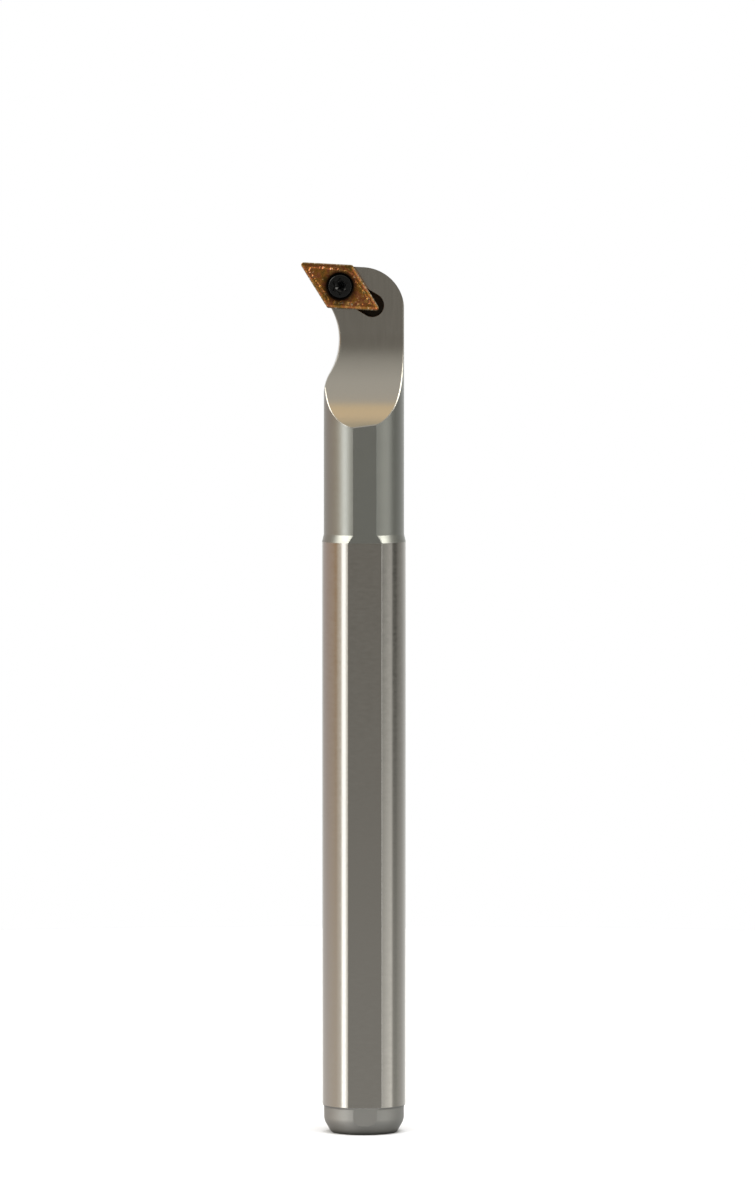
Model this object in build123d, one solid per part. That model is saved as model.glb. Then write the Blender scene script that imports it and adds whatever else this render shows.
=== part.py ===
from build123d import *
import os
from math import cos, hypot, pi, radians, sin, sqrt, tan

# An internal turning bar: a round steel bar with two flats, whose slim head carries a 55 degree
# carbide insert in a pocket, held by a countersunk screw through its middle.
# The origin is the centre of the rear end face. +Z runs along the bar to the cutting tip, the
# rake face looks towards -Y and the tip points towards -X. All sizes are in millimetres.

# ---------------------------------------------------------------- bar
OVERALL_LENGTH = 125.0          # rear face to the front of the insert
SHANK_DIAMETER = 12.0
FLAT_HEIGHT = 11.0              # across the front and back flats
PILOT_DIAMETER = 11.5           # relieved rear end, which enters a holder first
PILOT_LENGTH = 4.0
PILOT_STEP_LENGTH = 0.3
END_CHAMFER_LENGTH = 1.75
END_CHAMFER_DEPTH = 1.0
HEAD_LENGTH = 40.0              # full-diameter shank to the front of the insert
STEP_LENGTH = 1.1               # cone from the shank down to the neck
NECK_DIAMETER = 11.5

# ---------------------------------------------------------------- head
TIP_OFFSET = 9.0                # bar axis to the cutting tip
RADIAL_TILT = 7.0               # the rake face falls away to the right of the tip
SUPPORT_SETBACK = 0.75          # the head stops this short of the tip, to clear the bore
SWELL_START_FROM_FRONT = 15.0   # the neck grows into the wider head from here
SWELL_END_FROM_FRONT = 7.0
WAIST_OFFSET = 3.47             # bar axis to the deepest point of the chip relief
WAIST_FROM_FRONT = 11.06
RELIEF_RADIUS = 9.1             # hollow beside the waist
BLEND_RADIUS = 5.75             # round shoulder from the hollow to the neck
CORNER_RADIUS = 6.2             # round corner away from the tip
FRONT_SETBACK = 0.15            # head behind the front edge of the insert
SIDE_SETBACK = 0.30             # head inside the side edge of the insert
INSERT_STAND = 0.90             # rake face above the milled face of the head
FACE_FROM_FRONT = 10.2          # where the milled face starts to run out
RUNOUT_RADIUS = 18.8
EDGE_BREAK = 0.15               # bevel along the rim of the milled face

# ---------------------------------------------------------------- insert
INSCRIBED_CIRCLE = 6.35
NOSE_ANGLE = 55.0
NOSE_RADIUS = 0.4
INSERT_THICKNESS = 2.38
CLEARANCE_ANGLE = 7.0
LEAD_ANGLE = 3.0                # front edge off square to the bar
INSERT_HOLE_DIAMETER = 2.8
SINK_DIAMETER = 4.0
SINK_ANGLE = 60.0
LAND_WIDTH = 0.12               # flat strip along the cutting edges
BREAKER_SLOPE_WIDTH = 0.45
BREAKER_DEPTH = 0.16
BREAKER_NOSE_RADIUS = 0.06
ISLAND_REACH = 5.25             # middle of the insert to the end of its raised island
ISLAND_HALF_WIDTH = 2.45
ISLAND_END_RADIUS = 0.3
ISLAND_SIDE_RADIUS = 1.2
ISLAND_SLOPE_WIDTH = 0.18
ISLAND_BELOW_EDGE = 0.03

# ---------------------------------------------------------------- pocket
CORNER_CUTTER_DIAMETER = 3.25   # relief milled where the pocket walls meet
CORNER_CUT_REACH = 5.3          # middle of the insert to the centre of the cut's round end
CORNER_CUT_LENGTH = 1.6
CORNER_CUT_BELOW_FLOOR = 0.10
HOLE_CHAMFER = 0.2              # both ends of the tapped hole

# ---------------------------------------------------------------- clamp screw
THREAD_DIAMETER = 2.5
THREAD_CLEARANCE = 0.02         # radial, between the screw and the tapped hole
SCREW_LENGTH = 5.5
SCREW_HEAD_DIAMETER = 3.45
SCREW_RIM_HEIGHT = 0.12
SCREW_SEAT_CLEARANCE = 0.02     # square to the cone
SCREW_EDGE_BREAK = 0.06
SCREW_TIP_CHAMFER = 0.35
SOCKET_ACROSS_LOBES = 2.39
SOCKET_ACROSS_VALLEYS = 1.75
SOCKET_LOBE_RADIUS = 0.18
SOCKET_LOBES = 6
SOCKET_DEPTH = 0.90
SOCKET_DRILL_DIAMETER = 1.60
SOCKET_DRILL_ANGLE = 120.0

# ---------------------------------------------------------------- sizes worked out
shank_radius = SHANK_DIAMETER / 2
neck_radius = NECK_DIAMETER / 2
pilot_radius = PILOT_DIAMETER / 2
shank_top = OVERALL_LENGTH - HEAD_LENGTH
waist_height = OVERALL_LENGTH - WAIST_FROM_FRONT
arcs_across = BLEND_RADIUS + RELIEF_RADIUS + WAIST_OFFSET - neck_radius
arcs_along = sqrt((BLEND_RADIUS + RELIEF_RADIUS) ** 2 - arcs_across**2)
shoulder_height = waist_height - arcs_along     # where the neck's side starts to curve in
swell_start = OVERALL_LENGTH - SWELL_START_FROM_FRONT
beyond = OVERALL_LENGTH + SHANK_DIAMETER        # a height clear above the bar
reach = 4 * SHANK_DIAMETER                      # wide enough for every cutting block

half_nose = radians(NOSE_ANGLE / 2)
clearance = radians(CLEARANCE_ANGLE)
tilt = radians(RADIAL_TILT)
diagonal_turn = LEAD_ANGLE + NOSE_ANGLE / 2     # long diagonal below square to the bar
half_circle = INSCRIBED_CIRCLE / 2
half_long = half_circle / sin(half_nose)
half_short = half_circle / cos(half_nose)

# The insert's own frame: its middle on the rake face, X along the long diagonal away from the
# cutting tip, Z out of the rake face.
tip_to_middle = (half_circle - NOSE_RADIUS) / sin(half_nose)
middle_across = NOSE_RADIUS + tip_to_middle * cos(radians(diagonal_turn))
middle_height = OVERALL_LENGTH - NOSE_RADIUS - tip_to_middle * sin(radians(diagonal_turn))
rake_plane = Plane(
    origin=(middle_across * cos(tilt) - TIP_OFFSET, -middle_across * sin(tilt), middle_height),
    x_dir=(cos(tilt), -sin(tilt), 0),
    z_dir=(-sin(tilt), -cos(tilt), 0),
)
insert_frame = rake_plane.location * Rot(0, 0, -diagonal_turn)

# Directions square to the four sides of the insert, seen from above the rake face.
wall_side = 90 - NOSE_ANGLE / 2
front_side = 90 + NOSE_ANGLE / 2
POCKET_WALLS = (wall_side, -wall_side)


def side_plane(direction, setback=0.0):
    """The plane of one side of the insert, or one set back inside it, facing outwards."""
    turn = radians(direction)
    outwards = Vector(cos(turn), sin(turn), 0)
    return Plane(
        origin=outwards * (half_circle - setback),
        x_dir=(-sin(turn), cos(turn), 0),
        z_dir=(outwards.X * cos(clearance), outwards.Y * cos(clearance), -sin(clearance)),
    )


def outside(direction, setback=0.0):
    """Everything beyond one side of the insert."""
    block = Box(reach, reach, reach, align=(Align.CENTER, Align.CENTER, Align.MIN))
    return side_plane(direction, setback).location * block


def rhombus(half_x, half_y, end_radius, side_radius):
    """A rhombus whose corners on X and on Y are rounded."""
    outline = Polygon((half_x, 0), (0, half_y), (-half_x, 0), (0, -half_y), align=None)
    ends = outline.vertices().sort_by(Axis.X)
    outline = fillet([ends[0], ends[-1]], end_radius)
    sides = outline.vertices().sort_by(Axis.Y)
    return fillet([sides[0], sides[-1]], side_radius)


def arc(centre, start, end):
    """The shorter arc about a centre, from one point to another at the same distance."""
    radius = (start - centre).length
    return ThreePointArc(start, centre + ((start + end) * 0.5 - centre).normalized() * radius, end)


def inset_outline(inset, corner_radius):
    """The insert's outline drawn in by a distance square to its sides."""
    scale = (half_circle - inset) / half_circle
    return rhombus(half_long * scale, half_short * scale, corner_radius, corner_radius)


# ---------------------------------------------------------------- bar body
def turned_blank():
    """Rear end, shank, step and neck, which runs on as the far side of the head."""
    profile = Polyline(
        (0, 0),
        (pilot_radius - END_CHAMFER_DEPTH, 0),
        (pilot_radius, END_CHAMFER_LENGTH),
        (pilot_radius, PILOT_LENGTH - PILOT_STEP_LENGTH),
        (shank_radius, PILOT_LENGTH),
        (shank_radius, shank_top),
        (neck_radius, shank_top + STEP_LENGTH),
        (neck_radius, OVERALL_LENGTH),
        (0, OVERALL_LENGTH),
        close=True,
    )
    return revolve(Plane.YZ * make_face(profile), Axis.Z)


def swell():
    """The tip's side of the head grows out of the neck, round a centre shifted to that side."""
    full_radius = (neck_radius + TIP_OFFSET - SUPPORT_SETBACK) / 2
    full_height = OVERALL_LENGTH - SWELL_END_FROM_FRONT
    neck_circle = Pos(0, 0, swell_start) * Circle(neck_radius)
    full_circle = Pos(neck_radius - full_radius, 0, full_height) * Circle(full_radius)
    grown = loft([neck_circle, full_circle], ruled=True)
    grown += extrude(full_circle, SWELL_END_FROM_FRONT)
    return split(grown, Plane.YZ, keep=Keep.BOTTOM)


def chip_relief():
    """The hollow milled through the head below the insert, with its rounded shoulder."""
    hollow = Vector(-WAIST_OFFSET - RELIEF_RADIUS, waist_height)
    shoulder = Vector(BLEND_RADIUS - neck_radius, shoulder_height)
    touch = shoulder + (hollow - shoulder).normalized() * BLEND_RADIUS
    start = Vector(-neck_radius, shoulder_height)
    top = hollow + Vector(0, RELIEF_RADIUS)
    outline = (
        arc(shoulder, start, touch)
        + arc(hollow, touch, top)
        + Polyline(top, (hollow.X, shoulder_height), start)
    )
    return extrude(Plane.XZ * make_face(outline), reach / 2, both=True)


def side_of_support():
    """What lies beyond the insert's side edge, from its blunt corner up past the tip."""
    blunt_corner = half_short * sin(half_nose)
    block = Box(reach, reach, reach, align=(Align.MAX, Align.CENTER, Align.MIN))
    return side_plane(-front_side, SIDE_SETBACK).location * Pos(blunt_corner, 0, 0) * block


def front_of_head():
    """What lies beyond the front face and the round corner, which lean back together."""
    front = Plane(insert_frame * side_plane(front_side, FRONT_SETBACK).location)
    normal = front.z_dir
    across = hypot(normal.X, normal.Z)
    centre_x = neck_radius - CORNER_RADIUS
    drop = CORNER_RADIUS * across + normal.X * (centre_x - front.origin.X)
    centre = Vector(centre_x, front.origin.Z - (drop - normal.Y * front.origin.Y) / normal.Z)
    touch = centre + Vector(normal.X, normal.Z) * (CORNER_RADIUS / across)
    corner_end = centre + Vector(CORNER_RADIUS, 0)
    far_left = touch + Vector(-normal.Z, normal.X) * reach
    outline = arc(centre, corner_end, touch) + Polyline(
        touch, far_left, (far_left.X, beyond), (reach, beyond), (reach, centre.Y), corner_end
    )
    lean = normal.Y / normal.Z
    start = Plane(origin=(0, -reach, reach * lean), x_dir=(1, 0, 0), z_dir=(0, -1, 0))
    return extrude(start * make_face(outline), 2 * reach * hypot(1, lean), dir=(0, 1, -lean))


def face_cut():
    """The milled face parallel to the rake face, which runs out of the bar on a large radius."""
    upwards = rake_plane.z_dir
    foot = rake_plane.origin - upwards * INSERT_STAND
    section = Plane(
        origin=(foot.X, foot.Y, 0), x_dir=upwards, z_dir=upwards.cross(Vector(0, 0, 1))
    )
    face_start = OVERALL_LENGTH - FACE_FROM_FRONT
    run = CenterArc((RUNOUT_RADIUS, face_start), RUNOUT_RADIUS, 180, 90)
    outline = run + Polyline(run @ 1, (RUNOUT_RADIUS, beyond), (0, beyond), run @ 0)
    return extrude(section * make_face(outline), reach / 2, both=True)


def pocket():
    """Floor and two leaning walls for the insert, and the round cut where the walls meet."""
    space = Box(reach, reach, reach, align=(Align.CENTER, Align.CENTER, Align.MIN))
    seat = Pos(0, 0, -INSERT_THICKNESS) * space
    for direction in POCKET_WALLS:
        seat -= outside(direction)
    cut_depth = INSERT_THICKNESS + CORNER_CUT_BELOW_FLOOR
    middle_of_cut = CORNER_CUT_REACH - CORNER_CUT_LENGTH / 2
    slot = SlotCenterToCenter(CORNER_CUT_LENGTH, CORNER_CUTTER_DIAMETER)
    corner = Pos(middle_of_cut, 0, -cut_depth) * extrude(slot, reach)
    return seat + corner


def screw_hole():
    """Tapped hole from the pocket floor through to the back flat, both ends chamfered."""
    radius = THREAD_DIAMETER / 2 + THREAD_CLEARANCE
    wide_up = (Align.CENTER, Align.CENTER, Align.MAX)
    floor_mouth = Cone(radius, radius + HOLE_CHAMFER, HOLE_CHAMFER, align=wide_up)
    to_back = (FLAT_HEIGHT / 2 - rake_plane.origin.Y) / cos(tilt)
    back_mouth = Cone(radius + 3 * HOLE_CHAMFER, radius, 3 * HOLE_CHAMFER, align=wide_up)
    hole = Cylinder(radius, reach)
    hole += Pos(0, 0, -INSERT_THICKNESS) * floor_mouth
    return hole + Pos(0, 0, HOLE_CHAMFER - to_back) * back_mouth


def build_bar():
    slab = Box(reach, FLAT_HEIGHT, beyond, align=(Align.CENTER, Align.CENTER, Align.MIN))
    blank = (turned_blank() + swell()) & slab
    blank -= chip_relief() + front_of_head()
    cutter = face_cut()
    bar = blank - cutter
    bar = chamfer(new_edges(blank, cutter, combined=bar), EDGE_BREAK)
    bar -= insert_frame * side_of_support()
    bar -= insert_frame * pocket()
    bar -= insert_frame * screw_hole()
    return bar


# ---------------------------------------------------------------- insert
def build_insert():
    bottom_inset = INSERT_THICKNESS * tan(clearance)
    top = inset_outline(0, NOSE_RADIUS)
    bottom = Pos(0, 0, -INSERT_THICKNESS) * inset_outline(bottom_inset, NOSE_RADIUS - bottom_inset)
    body = loft([bottom, top], ruled=True)

    land = inset_outline(LAND_WIDTH, NOSE_RADIUS - LAND_WIDTH)
    groove = inset_outline(LAND_WIDTH + BREAKER_SLOPE_WIDTH, BREAKER_NOSE_RADIUS)
    body -= loft([land, Pos(0, 0, -BREAKER_DEPTH) * groove], ruled=True)

    island_top = rhombus(ISLAND_REACH, ISLAND_HALF_WIDTH, ISLAND_END_RADIUS, ISLAND_SIDE_RADIUS)
    island_foot = rhombus(
        ISLAND_REACH + 2 * ISLAND_SLOPE_WIDTH,
        ISLAND_HALF_WIDTH + ISLAND_SLOPE_WIDTH,
        ISLAND_END_RADIUS + ISLAND_SLOPE_WIDTH,
        ISLAND_SIDE_RADIUS + ISLAND_SLOPE_WIDTH,
    )
    island = loft(
        [Pos(0, 0, -BREAKER_DEPTH) * island_foot, Pos(0, 0, -ISLAND_BELOW_EDGE) * island_top], ruled=True
    )
    body += island

    sink_depth = (SINK_DIAMETER - INSERT_HOLE_DIAMETER) / 2 / tan(radians(SINK_ANGLE / 2))
    sink = Cone(
        INSERT_HOLE_DIAMETER / 2, SINK_DIAMETER / 2, sink_depth, align=(Align.CENTER, Align.CENTER, Align.MAX)
    )
    body -= sink + Cylinder(INSERT_HOLE_DIAMETER / 2, reach)
    return insert_frame * body


# ---------------------------------------------------------------- screw
def socket_outline():
    """Six round lobes and six round valleys, each arc touching the next."""
    half_step = pi / SOCKET_LOBES
    lobe_at = SOCKET_ACROSS_LOBES / 2 - SOCKET_LOBE_RADIUS
    valley = SOCKET_ACROSS_VALLEYS / 2
    beside = lobe_at * cos(half_step)
    spread = lobe_at**2 + valley**2 - 2 * beside * valley - SOCKET_LOBE_RADIUS**2
    valley_radius = spread / 2 / (SOCKET_LOBE_RADIUS + beside - valley)
    lobe = Vector(lobe_at, 0)
    next_valley = Vector(valley + valley_radius, 0).rotate(Axis.Z, 180 / SOCKET_LOBES)
    touch = lobe + (next_valley - lobe).normalized() * SOCKET_LOBE_RADIUS
    mirrored = Vector(touch.X, -touch.Y)
    following = mirrored.rotate(Axis.Z, 360 / SOCKET_LOBES)
    step = arc(lobe, mirrored, touch) + arc(next_valley, touch, following)
    return make_face([Rot(0, 0, 360 / SOCKET_LOBES * turn) * step for turn in range(SOCKET_LOBES)])


def build_screw():
    """Countersunk screw, seated in the cone of the insert's hole."""
    slope = tan(radians(SINK_ANGLE / 2))
    gap = SCREW_SEAT_CLEARANCE / cos(radians(SINK_ANGLE / 2))
    rim = SCREW_HEAD_DIAMETER / 2
    thread = THREAD_DIAMETER / 2
    cone_top = (rim + gap - SINK_DIAMETER / 2) / slope
    cone_end = (thread + gap - SINK_DIAMETER / 2) / slope
    top = cone_top + SCREW_RIM_HEIGHT
    tip = top - SCREW_LENGTH
    profile = Polyline(
        (0, tip),
        (thread - SCREW_TIP_CHAMFER, tip),
        (thread, tip + SCREW_TIP_CHAMFER),
        (thread, cone_end),
        (rim, cone_top),
        (rim, top - SCREW_EDGE_BREAK),
        (rim - SCREW_EDGE_BREAK, top),
        (0, top),
        close=True,
    )
    screw = revolve(Plane.XZ * make_face(profile), Axis.Z)
    drill_radius = SOCKET_DRILL_DIAMETER / 2
    drill_depth = drill_radius / tan(radians(SOCKET_DRILL_ANGLE / 2))
    wide_up = (Align.CENTER, Align.CENTER, Align.MAX)
    screw -= Pos(0, 0, top - SOCKET_DEPTH) * extrude(socket_outline(), SOCKET_DEPTH)
    screw -= Pos(0, 0, top - SOCKET_DEPTH) * Cone(0, drill_radius, drill_depth, align=wide_up)
    return insert_frame * screw


os.makedirs("parts", exist_ok=True)
export_step(build_bar(), "parts/boring_bar.step")
export_step(build_insert(), "parts/insert.step")
export_step(build_screw(), "parts/clamp_screw.step")
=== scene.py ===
import random
from math import acos, atan2, cos, degrees, exp, hypot, pi, radians, sin, sqrt, tan

import bmesh
import bpy
import numpy as np
from mathutils import Matrix, Vector


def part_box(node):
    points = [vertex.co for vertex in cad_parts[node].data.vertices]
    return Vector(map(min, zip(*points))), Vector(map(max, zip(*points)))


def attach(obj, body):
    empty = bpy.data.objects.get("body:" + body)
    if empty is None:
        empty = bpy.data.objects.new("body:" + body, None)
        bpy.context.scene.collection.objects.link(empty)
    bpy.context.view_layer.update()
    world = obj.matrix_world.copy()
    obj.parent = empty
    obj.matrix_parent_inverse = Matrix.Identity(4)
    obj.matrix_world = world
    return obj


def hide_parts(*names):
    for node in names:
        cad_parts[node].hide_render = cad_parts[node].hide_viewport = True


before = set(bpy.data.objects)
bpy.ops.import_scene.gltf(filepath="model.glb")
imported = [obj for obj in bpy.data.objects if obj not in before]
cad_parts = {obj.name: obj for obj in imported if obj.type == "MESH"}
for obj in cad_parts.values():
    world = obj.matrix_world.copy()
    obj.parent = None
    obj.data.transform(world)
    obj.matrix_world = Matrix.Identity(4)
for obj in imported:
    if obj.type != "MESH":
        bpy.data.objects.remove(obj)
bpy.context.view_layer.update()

# An internal turning bar of ground steel with a coated carbide insert and a blackened screw.
# Lengths are in millimetres until a mesh is made. The bar stands on its rear end, its rake face
# looks towards -Y and its tip points towards -X.

MM = 0.001

# ---------------------------------------------------------------- sizes read from the frame
bar_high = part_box("boring_bar")[1] / MM
insert_low, insert_high = (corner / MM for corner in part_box("insert"))
LENGTH = insert_high.z
SHANK_RADIUS = bar_high.x
HALF_FLATS = bar_high.y
TIP_OFFSET = -insert_low.x

# ---------------------------------------------------------------- sizes of the bar
PILOT_RADIUS = 5.75
NECK_RADIUS = 5.75
NECK_START = LENGTH - 40.0
STEP_LENGTH = 1.1
PILOT_LENGTH = 4.0
PILOT_STEP = 0.3
END_CHAMFER_LENGTH = 1.75
END_CHAMFER_DEPTH = 1.0
EDGE_ROUND = 0.015
TILT = radians(7.0)
SUPPORT_SETBACK = 0.75
SWELL_START = LENGTH - 15.0
SWELL_END = LENGTH - 7.0
WAIST_OFFSET = 3.47
WAIST_HEIGHT = LENGTH - 11.06
RELIEF_RADIUS = 9.1
BLEND_RADIUS = 5.75
CORNER_RADIUS = 6.2
FRONT_SETBACK = 0.15
SIDE_SETBACK = 0.30
INSERT_STAND = 0.90
FACE_START = LENGTH - 10.2
RUNOUT_RADIUS = 18.8
FLAT_EDGE = 0.09                # the long edges of the flats are only just broken
RIM_EDGE = 0.17                 # the rim of the milled face has a bright bevel
SHARP_CORNER = radians(15)
END_CHAMFER_ROUNDS = (0.3, 2.2)  # where the chamfer meets the rear end and the pilot
PILOT_STEP_ROUNDS = (0.06, 0.05)
NECK_STEP_ROUND = 0.25
CLEAR = 3 * SHANK_RADIUS         # a side this far out cuts nothing
REACH = 8 * SHANK_RADIUS         # how far the cutting tools reach

# ---------------------------------------------------------------- sizes of insert and pocket
HALF_CIRCLE = 6.35 / 2
HALF_NOSE = radians(55.0 / 2)
NOSE_RADIUS = 0.4
THICKNESS = 2.38
CLEARANCE = radians(7.0)
LEAD = 3.0
CORNER_CUTTER = 3.25
CORNER_CUT_REACH = 5.3
CORNER_CUT_LENGTH = 1.6
CORNER_CUT_BELOW = 0.10
THREAD_RADIUS = 1.25
HOLE_RADIUS = THREAD_RADIUS + 0.02
HOLE_CHAMFER = 0.2

half_long = HALF_CIRCLE / sin(HALF_NOSE)
half_short = HALF_CIRCLE / cos(HALF_NOSE)
diagonal_turn = radians(LEAD) + HALF_NOSE
tip_to_middle = (HALF_CIRCLE - NOSE_RADIUS) / sin(HALF_NOSE)
middle_across = NOSE_RADIUS + tip_to_middle * cos(diagonal_turn)
rake_across = Vector((cos(TILT), -sin(TILT), 0))
rake_out = Vector((-sin(TILT), -cos(TILT), 0))
up = Vector((0, 0, 1))
middle_height = LENGTH - NOSE_RADIUS - tip_to_middle * sin(diagonal_turn)
insert_middle = Vector((-TIP_OFFSET, 0, middle_height))
insert_middle += rake_across * middle_across
# The insert's own frame: X along its long diagonal away from the tip, Z out of the rake face.
diagonal = rake_across * cos(diagonal_turn) - up * sin(diagonal_turn)
square_to_diagonal = rake_out.cross(diagonal)
insert_frame = Matrix((diagonal, square_to_diagonal, rake_out)).transposed().to_4x4()
insert_frame.translation = insert_middle
FRONT_SIDE = pi / 2 + HALF_NOSE
# The run-out of the milled face climbs to the front flat at this angle and this height.
face_depth = rake_out.dot(insert_middle) - INSERT_STAND
runout_turn = acos(1 - (HALF_FLATS * cos(TILT) - face_depth) / RUNOUT_RADIUS)
FLAT_TOP = FACE_START - RUNOUT_RADIUS * sin(runout_turn)


def side_plane(direction, setback=0.0):
    """A point on one side of the insert, or on a plane set back inside it, and the way it faces."""
    outwards = Vector((cos(direction), sin(direction), 0))
    normal = outwards * cos(CLEARANCE) - up * sin(CLEARANCE)
    return insert_frame @ (outwards * (HALF_CIRCLE - setback)), insert_frame.to_3x3() @ normal


# ---------------------------------------------------------------- mesh helpers
def new_piece(name, points, faces, material=None):
    """A mesh object from points in millimetres."""
    mesh = bpy.data.meshes.new(name)
    mesh.from_pydata([tuple(c * MM for c in p) for p in points], [], faces)
    mesh.validate()
    piece = bpy.data.objects.new(name, mesh)
    bpy.context.scene.collection.objects.link(piece)
    if material:
        mesh.materials.append(material)
    return piece


def ring_faces(rings, around, closed_ends=True):
    """Quads between neighbouring rings of points, and a face on each end."""
    faces = []
    for ring in range(rings - 1):
        here, there = ring * around, (ring + 1) * around
        for k in range(around):
            nxt = (k + 1) % around
            faces.append((here + k, here + nxt, there + nxt, there + k))
    if closed_ends:
        faces.append(tuple(reversed(range(around))))
        faces.append(tuple(range((rings - 1) * around, rings * around)))
    return faces


def outline_block(name, outline, start, end):
    """A block between two copies of a flat outline, each placed by a function."""
    around = len(outline)
    points = [start(p) for p in outline] + [end(p) for p in outline]
    return new_piece(name, points, ring_faces(2, around))


def tidy(piece, merge=2e-4):
    """Merges doubled points and turns every face outwards."""
    work = bmesh.new()
    work.from_mesh(piece.data)
    bmesh.ops.remove_doubles(work, verts=work.verts, dist=merge * MM)
    bmesh.ops.dissolve_degenerate(work, edges=work.edges, dist=merge * MM)
    bmesh.ops.recalc_face_normals(work, faces=work.faces)
    work.to_mesh(piece.data)
    work.free()


def apply_modifiers(piece):
    """Makes what the modifiers show the piece's own mesh."""
    graph = bpy.context.evaluated_depsgraph_get()
    mesh = bpy.data.meshes.new_from_object(piece.evaluated_get(graph))
    piece.modifiers.clear()
    old, piece.data = piece.data, mesh
    bpy.data.meshes.remove(old)


def cut(piece, tools):
    """Cuts the tools out of a piece and removes them."""
    for tool in tools:
        modifier = piece.modifiers.new("cut", "BOOLEAN")
        modifier.operation = "DIFFERENCE"
        modifier.solver = "EXACT"
        modifier.object = tool
    bpy.context.view_layer.update()
    apply_modifiers(piece)
    for tool in tools:
        bpy.data.objects.remove(tool)


def smooth(piece, sharp_degrees=30):
    """Smooth shading that keeps sharp edges and gives flats their own normal."""
    mesh = piece.data
    mesh.polygons.foreach_set("use_smooth", [True] * len(mesh.polygons))
    mesh.set_sharp_from_angle(angle=radians(sharp_degrees))
    weighted = piece.modifiers.new("weighted_normals", "WEIGHTED_NORMAL")
    weighted.keep_sharp = True
    weighted.weight = 100
    apply_modifiers(piece)


# ---------------------------------------------------------------- cuts in the head
def front_cut():
    """What lies beyond the front face and the round corner, which lean back together."""
    point, normal = side_plane(FRONT_SIDE, FRONT_SETBACK)
    across = hypot(normal.x, normal.z)
    centre_x = NECK_RADIUS - CORNER_RADIUS
    drop = CORNER_RADIUS * across + normal.x * (centre_x - point.x)
    centre_z = point.z - (drop - normal.y * point.y) / normal.z
    last = atan2(normal.z, normal.x)
    turns = [last * k / 40 for k in range(41)]
    outline = [
        (centre_x + CORNER_RADIUS * cos(a), centre_z + CORNER_RADIUS * sin(a)) for a in turns
    ]
    outline += [
        (outline[-1][0] - normal.z * REACH, outline[-1][1] + normal.x * REACH),
        (-REACH, LENGTH + REACH), (REACH, LENGTH + REACH), (REACH, centre_z),
    ]
    lean = normal.y / normal.z
    return outline_block(
        "front_cut", outline,
        lambda p: (p[0], -REACH, p[1] + lean * REACH), lambda p: (p[0], REACH, p[1] - lean * REACH),
    )


def on_side(direction, setback):
    """Places a point given along one side of the insert, down its lean, and outwards."""
    point, normal = side_plane(direction, setback)
    along = insert_frame.to_3x3() @ Vector((-sin(direction), cos(direction), 0))
    rising = normal.cross(along)
    return lambda a, b, c: point + along * a + rising * b + normal * c


def side_cut():
    """What lies beyond the insert's side edge, from its blunt corner up past the tip."""
    place = on_side(-FRONT_SIDE, SIDE_SETBACK)
    blunt = half_short * sin(HALF_NOSE)
    outline = [(blunt, -REACH), (blunt, REACH), (-REACH, REACH), (-REACH, -REACH)]
    return outline_block(
        "side_cut", outline, lambda p: place(p[0], p[1], 0), lambda p: place(p[0], p[1], REACH)
    )


def wall_corner(height, far):
    """Where the two leaning walls and a cut-off line stand at a height in the insert's frame."""
    apex = (HALF_CIRCLE + height * tan(CLEARANCE)) / sin(HALF_NOSE)
    wide = (apex + far) * tan(HALF_NOSE)
    return [(apex, 0, height), (-far, wide, height), (-far, -wide, height)]


def seat_cut():
    """Floor and two leaning walls for the insert."""
    points = wall_corner(-THICKNESS, REACH) + wall_corner(REACH, REACH)
    return new_piece("seat_cut", [insert_frame @ Vector(p) for p in points], ring_faces(2, 3))


def corner_cut():
    """The round cut where the walls meet, with its mouth broken by a small chamfer."""
    radius = CORNER_CUTTER / 2
    far = CORNER_CUT_REACH
    near = far - CORNER_CUT_LENGTH
    outline = [(far, radians(a)) for a in range(-90, 91, 5)]
    outline += [(near, radians(a)) for a in range(90, 271, 5)]
    levels = [
        (-THICKNESS - CORNER_CUT_BELOW, 0.0), (-INSERT_STAND - RIM_EDGE / 2, 0.0),
        (-INSERT_STAND + RIM_EDGE / 2, RIM_EDGE), (REACH, RIM_EDGE),
    ]
    points = [
        insert_frame @ Vector((x + (radius + wide) * cos(a), (radius + wide) * sin(a), height))
        for height, wide in levels for x, a in outline
    ]
    return new_piece("corner_cut", points, ring_faces(4, len(outline)))


def turned(name, profile, around=96, frame_of=insert_frame):
    """A closed turned piece from (height, radius) points, about the axis of a frame."""
    turn = [(cos(2 * pi * k / around), sin(2 * pi * k / around)) for k in range(around)]
    points = [frame_of @ Vector((r * c, r * s, z)) for z, r in profile for c, s in turn]
    return new_piece(name, points, ring_faces(len(profile), around))


def hole_cut():
    """The tapped hole from the pocket floor through to the back flat, both mouths chamfered."""
    to_back = (HALF_FLATS - insert_middle.y) / cos(TILT)
    back, floor = -to_back, -THICKNESS
    return turned("hole_cut", [
        (back - 3 * HOLE_CHAMFER, HOLE_RADIUS + 4 * HOLE_CHAMFER),
        (back + HOLE_CHAMFER, HOLE_RADIUS),
        (floor - HOLE_CHAMFER, HOLE_RADIUS),
        (floor + HOLE_CHAMFER, HOLE_RADIUS + 2 * HOLE_CHAMFER),
    ])


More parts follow.
